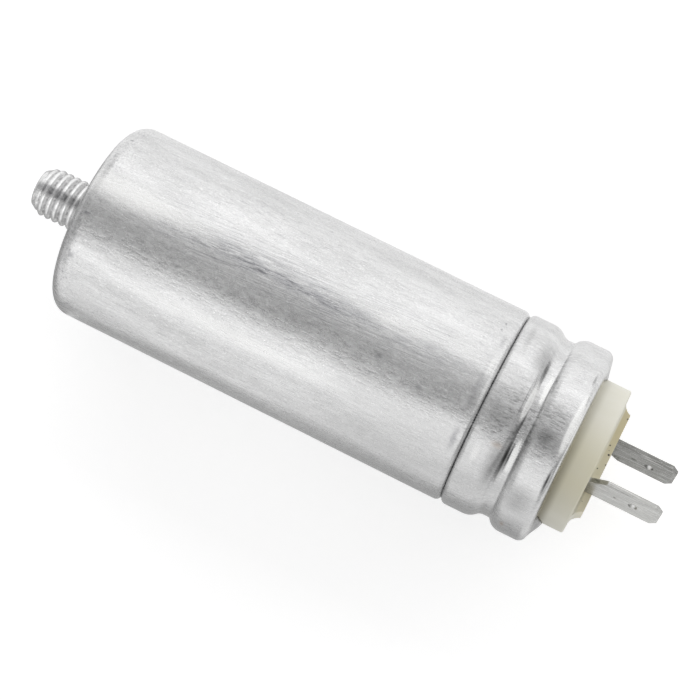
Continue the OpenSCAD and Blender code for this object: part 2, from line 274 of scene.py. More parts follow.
def finished(name, mesh):
    """An object for a mesh, with its faces pointing out and shaded smooth over soft bends."""
    form = bmesh.new()
    form.from_mesh(mesh)
    bmesh.ops.recalc_face_normals(form, faces=form.faces)
    form.to_mesh(mesh)
    form.free()
    mesh.shade_smooth()
    mesh.set_sharp_from_angle(angle=math.radians(40))
    return placed(name, mesh)


def hump(x, around, middle, reach):
    """1 in the middle of a soft oval patch of the skin and 0 outside it, in mm."""
    lengthwise = ((x - middle[0]) / reach[0]) ** 2
    sideways = ((around - middle[1]) / reach[1]) ** 2
    return max(0.0, 1 - lengthwise - sideways) ** 2


def worn(x, r, angle):
    """Where a point of the true outline lies on the used can: uneven, bulged, dented."""
    around = (angle if angle < math.pi else angle - 2 * math.pi) * BODY_R
    place = (x / WAVE_L, math.sin(angle) * WAVE_TURN, math.cos(angle) * WAVE_TURN)
    wave = noise.noise(Vector(place))
    ripple = noise.noise(Vector((x / RIPPLE_L, around / RIPPLE_W, RIPPLE_SLICE)))
    sunk = UNEVEN * (1 - wave)
    if x > FOLD_X:
        sunk += RIPPLE * abs(ripple)
    for middle, reach, depth in DENTS:
        sunk += depth * hump(x, around, middle, reach)
    crest = BEAD_TOP[0] + 0.5
    lean = smooth(BEAD_TOP[0] - 1.2, crest, x) * (1 - smooth(crest, NECK_LOW + 0.1, x))
    push = CREASE_PUSH * lean * hump(0, around, (0, 1.0), (1, CREASE_HALF))
    return x + push, r - sunk


def lip_lift(x, r, angle):
    """How far the unevenly rolled lip stands out: sunk on the upper side, lifted towards -Y."""
    if x < RIM_CENTRE[0]:
        return 0.0
    share = smooth(0.0, 1.0, (RIM_TOP - r) / (RIM_TOP - LIP_R))
    upper = smooth(0.1, 0.5, math.cos(angle))
    rise, swing = LIP_RISE
    return share * (-LIP_SINK * upper + (rise - swing * math.sin(angle)) * (1 - upper))


def can_shell():
    """The can: its worn outside, and the plain inside that only the lip's sunk part moves."""
    def outer(x, r, angle):
        worn_x, worn_r = worn(x, r, angle)
        return worn_x + lip_lift(x, r, angle), worn_r

    def inner(x, r, angle):
        return x + min(0.0, lip_lift(x, r, angle)), r

    rings = [lambda angle, x=x, r=r: outer(x, r, angle) for x, r in can_outside()]
    rings += [lambda angle, x=x, r=r: inner(x, r, angle) for x, r in can_inside()]
    return turned("can_shell", rings, CAN_STEPS)


def threaded_stud():
    rings = [lambda angle, x=x: (x, stud_radius(x, angle)) for x in stud_outline()]
    return turned("threaded_stud", rings, STUD_STEPS)


def eased_copy(node, name, width):
    """A piece with a CAD node's form and its edges rounded over."""
    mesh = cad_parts[node].data.copy()
    mesh.name = name
    mesh.materials.clear()
    form = bmesh.new()
    form.from_mesh(mesh)
    bmesh.ops.remove_doubles(form, verts=form.verts, dist=1e-6)
    flat = math.radians(0.5)
    bmesh.ops.dissolve_limit(form, angle_limit=flat, verts=form.verts, edges=form.edges)
    form.to_mesh(mesh)
    form.free()
    piece = placed(name, mesh)
    bevel = piece.modifiers.new("eased", "BEVEL")
    bevel.width = width * MM
    bevel.segments = 3
    bevel.limit_method = "ANGLE"
    bevel.angle_limit = math.radians(35)
    mesh.shade_smooth()
    mesh.set_sharp_from_angle(angle=math.radians(35))
    return piece


# ---------------------------------------------------------------- finishes
class Finish:
    """A node material, with short calls for the nodes that the finishes share."""

    def __init__(self, name, **surface):
        self.material = bpy.data.materials.new(name)
        self.material.use_nodes = True
        self.nodes = self.material.node_tree.nodes
        self.links = self.material.node_tree.links
        self.surface = self.nodes["Principled BSDF"]
        self.fill(self.surface, surface)
        self.coords = self.nodes.new("ShaderNodeTexCoord").outputs["Object"]

    def fill(self, node, values):
        """Sets or links a node's sockets; a colour may leave out its alpha of 1."""
        for key, value in values.items():
            socket = node.inputs[key if isinstance(key, int) else key.replace("_", " ")]
            if isinstance(value, bpy.types.NodeSocket):
                self.links.new(value, socket)
            elif socket.type == "RGBA":
                socket.default_value = (*value, 1)
            else:
                socket.default_value = value

    def node(self, kind, **values):
        made = self.nodes.new("ShaderNode" + kind)
        self.fill(made, values)
        return made

    def math(self, operation, a, b=0.0):
        made = self.nodes.new("ShaderNodeMath")
        made.operation = operation
        self.fill(made, {0: a, 1: b})
        return made.outputs[0]

    def times(self, *factors):
        total = factors[0]
        for factor in factors[1:]:
            total = self.math("MULTIPLY", total, factor)
        return total

    def rest(self, share):
        """What a share leaves of 1."""
        return self.math("SUBTRACT", 1.0, share)

    def vector_math(self, operation, *values):
        made = self.nodes.new("ShaderNodeVectorMath")
        made.operation = operation
        self.fill(made, dict(enumerate(values)))
        return made

    def unroll(self):
        """Sets along (X), around (from the can's top, to +Y) and skin (both), in metres.

        On the flat base the skin's coordinates are Y, set well apart from the side's marks, and Z.
        """
        parts = self.node("SeparateXYZ", Vector=self.coords).outputs
        self.along = parts[0]
        angle = self.math("ARCTAN2", parts[1], parts[2])
        self.around = self.math("MULTIPLY", angle, BODY_R * MM)
        side = self.node("CombineXYZ", X=self.along, Y=self.around).outputs[0]
        apart = self.math("SUBTRACT", parts[1], 0.1)
        base = self.node("CombineXYZ", X=apart, Y=parts[2]).outputs[0]
        self.skin = self.blend(self.between(self.along, 0.5 * MM, 0.1 * MM), side, base)

    def oval(self, coords, place, size, lean=0.0):
        """Coordinates in which a spot of that place and size, in mm, is a unit ball."""
        made = self.nodes.new("ShaderNodeMapping")
        made.vector_type = "TEXTURE"
        made.inputs["Location"].default_value = [p * MM for p in place]
        made.inputs["Rotation"].default_value = (0, 0, lean)
        made.inputs["Scale"].default_value = [s * MM for s in size]
        self.links.new(coords, made.inputs["Vector"])
        return made.outputs[0]

    def grain(self, size, coords=None, lean=0.0, **noise_values):
        """Noise from about 0.25 to 0.75 whose spots have that size in mm along each axis."""
        scaled = self.oval(coords or self.coords, (0, 0, 0), size, lean)
        values = {"Detail": 3.0, "Roughness": 0.5, "Distortion": 0.0, **noise_values}
        return self.node("TexNoise", Vector=scaled, Scale=1.0, **values).outputs["Fac"]

    def ragged(self, coords, reach, size):
        """Coordinates shifted about by up to the reach, so that marks there get torn edges."""
        scaled = self.oval(coords, (0, 0, 0), size)
        shift = self.node("TexNoise", Vector=scaled, Scale=1.0, Detail=2.0).outputs["Color"]
        reach *= MM
        spread = (2 * reach, 2 * reach, 0)
        centred = self.vector_math("MULTIPLY_ADD", shift, spread, (-reach, -reach, 0))
        return self.vector_math("ADD", coords, centred.outputs[0]).outputs[0]

    def between(self, value, low, high, to_low=0.0, to_high=1.0):
        """A soft step from one share to another; low may be the larger."""
        made = self.nodes.new("ShaderNodeMapRange")
        made.interpolation_type = "SMOOTHSTEP"
        limits = {"From Min": low, "From Max": high, "To Min": to_low, "To Max": to_high}
        self.fill(made, {"Value": value, **limits})
        return made.outputs[0]

    def zone(self, value, low, high, soft):
        """1 between two distances in mm and 0 beyond them, with soft ends."""
        after = self.between(value, (low - soft) * MM, (low + soft) * MM)
        before = self.between(value, (high - soft) * MM, (high + soft) * MM, 1.0, 0.0)
        return self.times(after, before)

    def patch(self, around, along):
        """1 on a stretch of the skin given by a zone round the can and one along it."""
        return self.times(self.zone(self.around, *around), self.zone(self.along, *along))

    def spot(self, place, size, coords=None):
        """1 in the middle of a soft oval mark, 0 outside it; place and size in mm."""
        inside = self.oval(coords or self.coords, place, size)
        length = self.vector_math("LENGTH", inside).outputs["Value"]
        return self.between(length, 0.0, 1.0, 1.0, 0.0)

    def marks(self, coords, places):
        """The strongest at each point of marks: (x, y, half length, half width, strength)."""
        total = 0.0
        for x, y, length, width, strength in places:
            mark = self.times(self.spot((x, y, 0), (length, width, 1), coords), strength)
            total = self.math("MAXIMUM", mark, total)
        return total

    def blend(self, share, first, second):
        return self.node("MixRGB", Fac=share, Color1=first, Color2=second).outputs[0]

    def layered(self, tone, layers):
        """The tone under layers: (grain, where a layer starts and is full, share, colour)."""
        for grain, start, full, share, colour in layers:
            tone = self.blend(self.between(grain, start, full, 0.0, share), tone, colour)
        return tone

    def bump(self, height, depth, **under):
        made = self.node("Bump", Height=height, Strength=1.0, Distance=depth * MM, **under)
        return made.outputs[0]

    def done(self, **surface):
        self.fill(self.surface, surface)
        return self.material


# Marks on the can's skin, in mm: (distance along, distance round from the top, half length, half
# width, strength)
SCUFFS = [                       # dark dashes and dents on the upper side
    (14.0, 3.4, 2.6, 0.3, 0.35), (19.5, 3.1, 3.2, 0.3, 0.45), (26.5, 3.6, 3.6, 0.3, 0.5),
    (29.6, 3.3, 2.2, 0.4, 0.75), (35.0, 3.9, 3.0, 0.25, 0.35), (40.0, 3.2, 4.0, 0.25, 0.35),
    (46.0, 2.4, 3.0, 0.25, 0.25), (24.0, 5.0, 4.0, 0.3, 0.25), (31.5, 5.6, 5.0, 0.35, 0.3),
    (51.0, -0.3, 0.8, 0.9, 0.35), (58.4, -1.8, 1.0, 0.7, 0.35),
    (66.2, -6.3, 0.8, 3.2, 0.4), (66.4, 10.6, 0.6, 2.0, 0.25), (66.0, 1.5, 0.8, 5.0, 0.25),
    (2.4, -0.4, 0.9, 0.5, 0.5), (2.5, -7.3, 0.9, 0.9, 0.4), (2.2, 14.5, 0.5, 0.25, 0.8),
    (65.5, 14.3, 0.2, 0.4, 0.8), (65.4, 12.6, 0.2, 0.4, 0.7),
]
CREASE_SHADE_AND_GRIME = [                        # painted shade, with some dirt, in the creases near the rim and on the rim
    (74.2, -5.8, 0.75, 6.4, 1.0), (74.25, 0.4, 0.3, 3.6, 0.8), (73.9, 9.8, 0.7, 3.8, 0.7),
    (73.1, 3.6, 0.14, 6.4, 0.45), (75.75, 5.6, 0.13, 6.0, 0.5), (70.9, -1.0, 2.2, 3.4, 0.16),
    (72.9, -6.9, 1.9, 6.4, 0.45), (73.0, 10.8, 2.2, 5.2, 0.4), (76.4, -9.0, 0.8, 7.0, 0.15),
    (78.3, -0.2, 2.4, 2.4, 0.5), (78.2, 3.6, 2.6, 2.2, 0.15), (81.2, -6.0, 0.3, 3.4, 1.0),
    (81.0, 11.7, 0.3, 1.8, 0.5), (78.6, -11.0, 3.0, 4.0, 0.28), (79.0, -17.0, 4.0, 5.0, 0.12),
    (82.5, -24.0, 1.4, 9.0, 0.85), (82.4, 21.0, 1.2, 8.0, 0.4), (69.6, 14.0, 0.8, 5.0, 0.2),
]
FACETS = [                       # painted highlights on creases pressed flat
    (73.85, 3.6, 0.62, 5.0, 1.0), (75.25, 6.8, 0.55, 3.8, 0.9), (75.2, -5.0, 0.5, 4.2, 0.9),
    (81.15, 3.2, 0.9, 7.6, 1.0),
]
SHEEN = [                        # painted highlights: places a little brighter
    (66.5, 5.9, 0.6, 3.0, 0.5), (61.5, 6.0, 5.0, 3.0, 0.3), (43.8, -7.3, 10.0, 0.8, 0.25),
    (8.0, 4.9, 20.0, 3.2, 0.8), (69.9, -7.0, 0.8, 2.6, 0.4), (30.0, -7.5, 26.0, 2.0, 0.4),
    (51.0, 5.4, 14.0, 2.6, 0.4), (67.25, 2.5, 0.5, 7.5, 0.55),
]
LIP_SHADE = [(82.15, -12.0, 0.45, 18.0, 0.8), (82.15, 6.0, 0.4, 18.0, 0.5)]
STAINS = [(72.3, -4.2, 1.5, 0.8, 0.4), (77.9, -18.2, 0.6, 1.3, 0.5)]

# Stretches of the skin, in mm: a zone round the can and one along it, each (low, high, softness)
HANDLED = ((0.5, 8.0, 1.5), (12.0, 60.0, 7.0))
SCUFFED = ((2.6, 5.4, 1.2), (17.0, 62.0, 9.0))
DASHED = ((2.7, 4.4, 0.8), (11.0, 48.0, 5.0))
CRACKLED = ((-3.5, 4.5, 2.0), (69.8, 80.2, 1.0))
# painted shade on the base's rounded corner
BASE_CORNER_SHADE = ((-9.0, 5.0, 3.0), (0.15, 1.6, 0.3))
BRUSH_LEAN = math.radians(4)     # the brushing's turn away from the can's axis


def drawn_tone(finish, fine, mottle, streaks):
    """The metal as it was drawn: cloudy, with light and dark grain and streaks along the can."""
    cloud = finish.grain((16.0, 3.0, 1.0), finish.skin, Detail=4.0, Roughness=0.6)
    tone = finish.blend(finish.between(cloud, 0.35, 0.65), (0.59, 0.59, 0.59), (0.69, 0.69, 0.69))
    return finish.layered(tone, [
        (mottle, 0.43, 0.3, 0.65, (0.44, 0.44, 0.445)),
        (mottle, 0.54, 0.7, 0.7, (0.82, 0.82, 0.82)),
        (fine, 0.46, 0.28, 0.35, (0.42, 0.42, 0.43)),
        (fine, 0.56, 0.7, 0.65, (0.92, 0.92, 0.92)),
        (streaks, 0.5, 0.34, 0.35, (0.4, 0.4, 0.41)),
    ])


def handled_tone(finish, tone):
    """Dark and bright hairs, and a grey stripe, where hands and tools have worn the top."""
    hairs = finish.grain((9.0, 0.13, 1.0), finish.skin, BRUSH_LEAN, Detail=2.0)
    handled = finish.patch(*HANDLED)
    darker = finish.times(handled, finish.between(hairs, 0.47, 0.36, 0.0, 0.55))
    tone = finish.blend(darker, tone, (0.3, 0.3, 0.32))
    lighter = finish.times(handled, finish.between(hairs, 0.55, 0.66, 0.0, 0.4))
    tone = finish.blend(lighter, tone, (0.9, 0.9, 0.9))
    patches = finish.grain((4.0, 1.0, 1.0), finish.skin, Detail=4.0, Roughness=0.7)
    scuffed = finish.times(finish.patch(*SCUFFED), finish.between(patches, 0.4, 0.6), 0.35)
    return finish.blend(scuffed, tone, (0.3, 0.305, 0.33))


def base_tone(finish, tone):
    """Dings and flecks round the base's edge, and painted shade on its corner."""
    knocks = finish.grain((0.45, 0.7, 1.0), finish.skin, Detail=4.0, Roughness=0.8)
    edge = finish.between(finish.along, 6.0 * MM, 1.0 * MM)
    dings = finish.times(edge, finish.between(knocks, 0.47, 0.33, 0.0, 0.7))
    tone = finish.blend(dings, tone, (0.22, 0.22, 0.24))
    flecks = finish.times(edge, finish.between(knocks, 0.53, 0.66, 0.0, 0.5))
    tone = finish.blend(flecks, tone, (0.88, 0.88, 0.88))
    # painted shade darkens the base's rounded corner
    return finish.blend(finish.times(finish.patch(*BASE_CORNER_SHADE), 0.25), tone, (0.35, 0.35, 0.36))


def aluminium():
    """The can's metal: fine-grained, brushed lengthwise, scuffed on top, with painted shade and
    some dirt in its creases, and painted highlights.
    """
    finish = Finish("worn_aluminium")
    finish.unroll()
    skin = finish.skin
    fine = finish.grain((0.32, 0.2, 0.2), Roughness=0.7)
    mottle = finish.grain((1.5, 0.6, 1.0), skin, Detail=5.0, Roughness=0.7, Distortion=0.4)
    streaks = finish.grain((2.6, 0.16, 1.0), skin, Detail=2.0, Roughness=0.6)
    dashes = finish.grain((2.4, 0.17, 1.0), skin, BRUSH_LEAN, Roughness=0.65)
    wrinkles = finish.grain((1.3, 0.3, 1.0), skin, Detail=2.0, Roughness=0.6)
    torn = finish.ragged(skin, 0.35, (1.4, 0.5, 1.0))

    tone = handled_tone(finish, drawn_tone(finish, fine, mottle, streaks))
    dashed = finish.times(finish.patch(*DASHED), finish.between(dashes, 0.5, 0.62))
    tone = finish.blend(finish.times(dashed, 0.75), tone, (0.22, 0.22, 0.24))
    crackle = finish.times(finish.patch(*CRACKLED), finish.between(wrinkles, 0.46, 0.66))
    tone = finish.blend(finish.times(crackle, 0.6), tone, (0.25, 0.25, 0.25))
    # darker towards -Y, from about 40 mm along the can to the rim
    darker_low_side = finish.times(finish.between(finish.along, 38.0 * MM, 56.0 * MM),
                        finish.between(finish.around, -3.0 * MM, -6.0 * MM, 0.0, 0.4))
    tone = finish.blend(darker_low_side, tone, (0.42, 0.42, 0.42))
    tone = base_tone(finish, tone)
    tone = finish.blend(finish.marks(torn, SCUFFS), tone, (0.12, 0.12, 0.14))
    # painted shade, with some dirt: creases and rim darkened
    tone = finish.blend(finish.marks(skin, CREASE_SHADE_AND_GRIME), tone, (0.05, 0.05, 0.05))
    tone = finish.blend(finish.marks(torn, STAINS), tone, (0.3, 0.22, 0.16))
    # painted highlights: near-white, less metallic marks on flattened creases and bright bands
    facet_highlights = finish.between(finish.marks(skin, FACETS), 0.0, 0.55)
    facet_highlights = finish.times(facet_highlights, finish.between(mottle, 0.32, 0.5, 0.7, 1.0))
    painted_highlights = finish.math("MAXIMUM", facet_highlights, finish.marks(skin, SHEEN))
    tone = finish.blend(painted_highlights, tone, (0.96, 0.96, 0.95))
    tone = finish.blend(finish.marks(skin, LIP_SHADE), tone, (0.08, 0.08, 0.075))

    height = finish.math("ADD", finish.times(fine, 0.35), finish.times(streaks, 0.4))
    height = finish.math("ADD", height, finish.times(mottle, 1.6))
    pressed = finish.rest(finish.times(facet_highlights, 0.8))
    relief = finish.bump(finish.times(height, pressed), 0.035)
    relief = finish.bump(finish.math("ADD", crackle, dashed), -0.015, Normal=relief)
    return finish.done(Base_Color=tone, Metallic=finish.rest(finish.times(painted_highlights, 0.8)),
                       Roughness=finish.between(mottle, 0.3, 0.7, 0.21, 0.35), Normal=relief)


# Where the stud gets a painted dark reflection and painted highlights
STUD_DARK_BAND = (-1.6, 3.6, 1.0)     # zones round the stud, as they would lie on the can's skin, in mm
STUD_LIT = ((4.4, 7.6, 0.6), (-7.0, -3.2, 1.0))


def threaded_aluminium():
    """The stud's metal: painted highlights on the crests, painted shade down in the thread and a
    painted dark reflection across its top.
    """
    finish = Finish("stud_aluminium", Metallic=0.75)
    finish.unroll()
    fine = finish.grain((0.3, 0.2, 0.2), Roughness=0.7)
    mottle = finish.grain((0.9, 0.7, 0.7), Detail=4.0, Roughness=0.7)
    turn = finish.math("SUBTRACT", finish.math("DIVIDE", finish.along, THREAD_PITCH * MM),
                       finish.math("DIVIDE", finish.around, 2 * math.pi * BODY_R * MM))
    turn = finish.math("SUBTRACT", turn, THREAD_SHIFT / THREAD_PITCH)
    phase = finish.math("FRACT", finish.math("ADD", turn, 100.0))
    flank = finish.math("ABSOLUTE", finish.math("SUBTRACT", phase, 0.5))
    flank = finish.math("SUBTRACT", 0.5, flank)    # 0 at a root, 0.5 on a crest
    shaft = finish.between(finish.along, -8.9 * MM, -8.3 * MM)
    round_side = finish.between(finish.along, -9.9 * MM, -9.4 * MM)
    tone = finish.blend(finish.between(mottle, 0.35, 0.65), (0.7, 0.7, 0.7), (0.88, 0.88, 0.88))
    tone = finish.layered(tone, [(fine, 0.46, 0.3, 0.6, (0.3, 0.3, 0.31))])
    # painted shade in the thread's roots
    root = finish.times(finish.between(flank, 0.16, 0.02), shaft, 0.2)
    tone = finish.blend(root, tone, (0.2, 0.2, 0.2))
    # painted highlights along the crests
    crest = finish.times(finish.between(flank, 0.3, 0.44), shaft, 0.3)
    tone = finish.blend(crest, tone, (0.93, 0.93, 0.93))
    # painted highlights: crests near white on two bands round the stud
    lit = finish.math("ADD", *[finish.zone(finish.around, *zone) for zone in STUD_LIT])
    lit = finish.times(lit, finish.between(flank, 0.1, 0.4), round_side, 0.8)
    tone = finish.blend(lit, tone, (0.97, 0.97, 0.97))
    # painted reflection: a dark, mottled band across the stud's top
    reflected_dark_band = finish.times(finish.zone(finish.around, *STUD_DARK_BAND),
                            finish.between(mottle, 0.36, 0.6, 0.1, 0.6), round_side)
    tone = finish.blend(reflected_dark_band, tone, (0.17, 0.17, 0.18))
    relief = finish.bump(finish.math("ADD", fine, mottle), 0.03)
    return finish.done(Base_Color=tone, Roughness=0.24, Normal=relief)


SPECKS = [                       # black specks on the barrier and beside it: place and size in mm
    ((87.3, 3.2, 0.3), 0.16), ((87.75, 1.8, 0.9), 0.22), ((88.0, 0.2, 1.5), 0.15),
    ((87.1, -0.8, 1.9), 0.15), ((87.95, 8.0, -1.6), 0.16), ((87.5, 2.4, 0.6), 0.1),
    ((88.0, -3.4, 2.9), 0.1), ((87.2, -6.2, 4.2), 0.12),
]
BOSS_TOP = (86.9 * MM, 87.2 * MM)          # the barrier stands out past these, along X
COVER_FOOT_SHADE = (83.8 * MM, 82.3 * MM)        # painted shade from here down to the lip


def moulded_plastic():
    """Ivory plastic with painted light, lighter and whiter towards +Y and paler far towards -Y, a
    few black specks and painted shade at its foot.
    """
    finish = Finish("cream_plastic", Roughness=0.42)
    x, y = finish.node("SeparateXYZ", Vector=finish.coords).outputs[:2]
    cloud = finish.grain((6.0, 4.0, 4.0), Detail=4.0)
    fine = finish.grain((0.3, 0.3, 0.3), Detail=2.0)
    # painted light: lighter and whiter towards +Y
    side = finish.between(y, -2.0 * MM, 9.0 * MM)
    tone = finish.blend(side, (0.7, 0.665, 0.51), (0.76, 0.745, 0.66))
    # painted light: paler again far towards -Y
    pale = finish.between(y, -4.0 * MM, -12.0 * MM, 0.0, 0.9)
    tone = finish.blend(pale, tone, (0.8, 0.785, 0.7))
    tone = finish.layered(tone, [(cloud, 0.4, 0.7, 0.35, (0.7, 0.68, 0.56))])
    barrier = finish.between(x, *BOSS_TOP)
    yellow = finish.times(barrier, finish.between(y, -2.0 * MM, 6.0 * MM, 0.2, 0.95))
    tone = finish.blend(yellow, tone, (0.6, 0.53, 0.33))
    # painted light: the barrier's lower part lightened where the near tab shades it
    tab_shadow_lift = finish.times(barrier, finish.zone(y, -8.0, -2.5, 1.0), 0.8)
    tone = finish.blend(tab_shadow_lift, tone, (0.95, 0.89, 0.7))
    # painted shade at the cover's foot, stronger towards -Y
    foot = finish.times(finish.between(x, *COVER_FOOT_SHADE),
                        finish.between(y, 12.0 * MM, -10.0 * MM, 0.4, 0.85))
    tone = finish.blend(foot, tone, (0.3, 0.275, 0.19))
    for place, size in SPECKS:
        speck = finish.between(finish.spot(place, (size, size, size)), 0.0, 0.35)
        tone = finish.blend(speck, tone, (0.03, 0.03, 0.025))
    return finish.done(Base_Color=tone, Normal=finish.bump(fine, 0.012))


TAB_DIRT = [                     # place and half sizes in mm, then strength
    ((88.0, -2.5, 8.5), (1.9, 0.7, 0.8), 0.6), ((88.9, 1.8, -9.2), (1.4, 0.6, 0.9), 1.0),
    ((91.5, 2.95, -6.3), (0.9, 0.8, 0.4), 1.0), ((88.9, 2.1, -8.4), (1.4, 0.8, 0.8), 1.0),
    ((91.2, -3.6, 6.8), (0.3, 0.6, 0.35), 0.8), ((90.5, 4.4, -4.2), (1.8, 0.3, 0.3), 0.6),
    ((88.4, 3.0, -6.4), (0.4, 2.0, 3.4), 0.5), ((87.0, -3.8, 6.0), (0.4, 2.0, 3.4), 0.3),
    ((96.6, -2.2, 8.9), (1.6, 0.3, 0.4), 0.35),
]
TAB_HOLES = ((94.3, -3.2, 6.7), (94.3, 3.2, -6.7))
HOLE_SIZE = (0.65, 1.1, 1.1)


def tinned_metal(name, dark, light, dark_scratch_share):
    """Dull tinned strip, finely scratched along its length, dirty where it leaves the cover."""
    finish = Finish(name)
    cloud = finish.grain((1.5, 1.0, 1.0), Detail=4.0)
    fine = finish.grain((0.3, 0.14, 0.14), Roughness=0.7)
    scratch = finish.grain((4.0, 0.1, 0.1), Detail=2.0)
    torn = finish.between(finish.grain((0.35, 0.35, 0.35)), 0.38, 0.52)
    tone = finish.blend(finish.between(cloud, 0.35, 0.7), dark, light)
    tone = finish.layered(tone, [
        (scratch, 0.5, 0.38, dark_scratch_share, (0.16, 0.16, 0.15)),
        (fine, 0.45, 0.3, 0.5, (0.3, 0.3, 0.29)),
        (fine, 0.56, 0.7, 0.5, (0.8, 0.8, 0.79)),
        (scratch, 0.58, 0.68, 0.5, (0.82, 0.82, 0.81)),
    ])
    for place, size, strength in TAB_DIRT:
        dirt = finish.times(finish.spot(place, size), strength, torn)
        tone = finish.blend(dirt, tone, (0.05, 0.055, 0.04))
    # painted highlight: the holes' inner walls near white and not metallic
    bright = 0.0
    for place in TAB_HOLES:
        hole_highlight = finish.between(finish.spot(place, HOLE_SIZE), 0.0, 0.3)
        bright = finish.math("MAXIMUM", hole_highlight, bright)
    tone = finish.blend(bright, tone, (0.95, 0.95, 0.95))
    relief = finish.bump(finish.math("ADD", fine, scratch), 0.02)
    return finish.done(Base_Color=tone, Metallic=finish.rest(bright),
                       Roughness=finish.between(cloud, 0.3, 0.7, 0.3, 0.46), Normal=relief)


def plain_finish(name, dark, light, size, depth, **surface):
    """A finish for a piece that the can hides: mottled, with a fine grain."""
    finish = Finish(name, **surface)
    cloud = finish.grain(size)
    tone = finish.blend(finish.between(cloud, 0.3, 0.7), dark, light)
    return finish.done(Base_Color=tone, Normal=finish.bump(cloud, depth))


def dress(piece, material):
    """Gives a piece or a CAD node one material all over."""
    piece.data.materials.clear()
    piece.data.materials.append(material)


# ---------------------------------------------------------------- studio, in metres
AMBIENT = 0.55                   # the world's light on the object
FLOOR_HALF = 2.0
FLOOR_GREY = 0.76
FLOOR_GLOW = 0.5                 # what the floor adds to its lit grey, to show white
FLOOR_GAP = 0.00002              # between the floor and the can
BOX_FAR = 0.7                    # from the can to the lamps
BOX_L = 1.6
ARCH_FAR = 0.6
ARCH_STEPS = 24
CARD_FAR = 0.65
CARD_H = 0.45
CARD_HALF_W = 1.0
SHADE_W = 0.036                  # the painted shadow strip beside the can, seen only in reflections
SHADE_GAP = 0.002
SHADE_RISE = 0.00005
SIDE_SHADE_X = (0.0, 0.087)
BASE_SHADE_X = (-0.15, -0.001)
REFLECTED_ONLY = ("camera", "diffuse", "transmission", "shadow")

CAMERA_PLACE = Vector((0.0835, -0.00078, 0.35477))
CAMERA_AIM = Vector((0.04515, -0.00133, 0.0))
CAMERA_ROLL = math.radians(26.19)
LENS_MM = 119.1
SENSOR_MM = 36.0


def shown_to_eye(tree):
    """1 for rays from the camera and for those that metal and glass reflect or pass."""
    path = tree.nodes.new("ShaderNodeLightPath")
    share = path.outputs["Is Camera Ray"]
    for kind in ("Is Glossy Ray", "Is Transmission Ray"):
        either = tree.nodes.new("ShaderNodeMath")
        either.operation = "MAXIMUM"
        tree.links.new(share, either.inputs[0])
        tree.links.new(path.outputs[kind], either.inputs[1])
        share = either.outputs[0]
    return share


def white_room():
    """White to the eye and in reflections, and a plain soft light on the object."""
    world = bpy.data.worlds.new("white_room")
    bpy.context.scene.world = world
    world.use_nodes = True
    tree = world.node_tree
    ambient = tree.nodes["Background"]
    ambient.inputs["Color"].default_value = (1, 1, 1, 1)
    ambient.inputs["Strength"].default_value = AMBIENT
    backdrop = tree.nodes.new("ShaderNodeBackground")
    backdrop.inputs["Color"].default_value = (1, 1, 1, 1)
    mix = tree.nodes.new("ShaderNodeMixShader")
    tree.links.new(shown_to_eye(tree), mix.inputs[0])
    tree.links.new(ambient.outputs[0], mix.inputs[1])
    tree.links.new(backdrop.outputs[0], mix.inputs[2])
    tree.links.new(mix.outputs[0], tree.nodes["World Output"].inputs[0])


def cloth(name):
    """A new material and its nodes, for a sheet of the studio."""
    material = bpy.data.materials.new(name)
    material.use_nodes = True
    return material, material.node_tree


def matt(tree, grey):
    """Makes a cloth plain and dull."""
    surface = tree.nodes["Principled BSDF"]
    surface.inputs["Base Color"].default_value = (grey, grey, grey, 1)
    surface.inputs["Roughness"].default_value = 1.0
    surface.inputs["Specular IOR Level"].default_value = 0.0
    return surface


def sheet(name, verts, faces, material, unseen_by=()):
    """A sheet of one material that some kinds of ray don't meet."""
    mesh = bpy.data.meshes.new(name)
    mesh.from_pydata(verts, [], faces)
    mesh.materials.append(material)
    made = placed(name, mesh)
    for kind in unseen_by:
        setattr(made, "visible_" + kind, False)
    return made


def rectangle(x, y, z):
    """The corners of a level rectangle between two distances along X and two along Y."""
    return [(x[0], y[0], z), (x[1], y[0], z), (x[1], y[1], z), (x[0], y[1], z)]


def floor():
    """A pale table top that shows white and keeps the object's soft shadow."""
    material, tree = cloth("floor")
    surface = matt(tree, FLOOR_GREY)
    glow = tree.nodes.new("ShaderNodeEmission")
    lift = tree.nodes.new("ShaderNodeMath")
    lift.operation = "MULTIPLY"
    lift.inputs[1].default_value = FLOOR_GLOW
    both = tree.nodes.new("ShaderNodeAddShader")
    tree.links.new(shown_to_eye(tree), lift.inputs[0])
    tree.links.new(lift.outputs[0], glow.inputs["Strength"])
    tree.links.new(surface.outputs[0], both.inputs[0])
    tree.links.new(glow.outputs[0], both.inputs[1])
    tree.links.new(both.outputs[0], tree.nodes["Material Output"].inputs[0])
    reach = (-FLOOR_HALF, FLOOR_HALF)
    corners = rectangle(reach, reach, CAD_BOX[0].z - FLOOR_GAP)
    top = sheet("floor", corners, [(0, 1, 2, 3)], material)


def face_can(thing, tilt, distance):
    """Stands a thing over the object's middle, tilted from the zenith towards +Y, facing it."""
    middle = (CAD_BOX[0] + CAD_BOX[1]) / 2
    thing.location = middle + Vector((0, math.sin(tilt), math.cos(tilt))) * distance
    thing.rotation_euler = (-tilt, 0, 0)


def soft_box(name, low_tilt, high_tilt, radiance):
    """A broad lamp along the can, between two tilts from the zenith towards +Y."""
    lamp = bpy.data.lights.new(name, "AREA")
    lamp.shape = "RECTANGLE"
    lamp.size = BOX_L
    lamp.size_y = 2 * BOX_FAR * math.tan((high_tilt - low_tilt) / 2)
    lamp.energy = radiance * math.pi * lamp.size * lamp.size_y
    face_can(placed(name, lamp), (low_tilt + high_tilt) / 2, BOX_FAR)


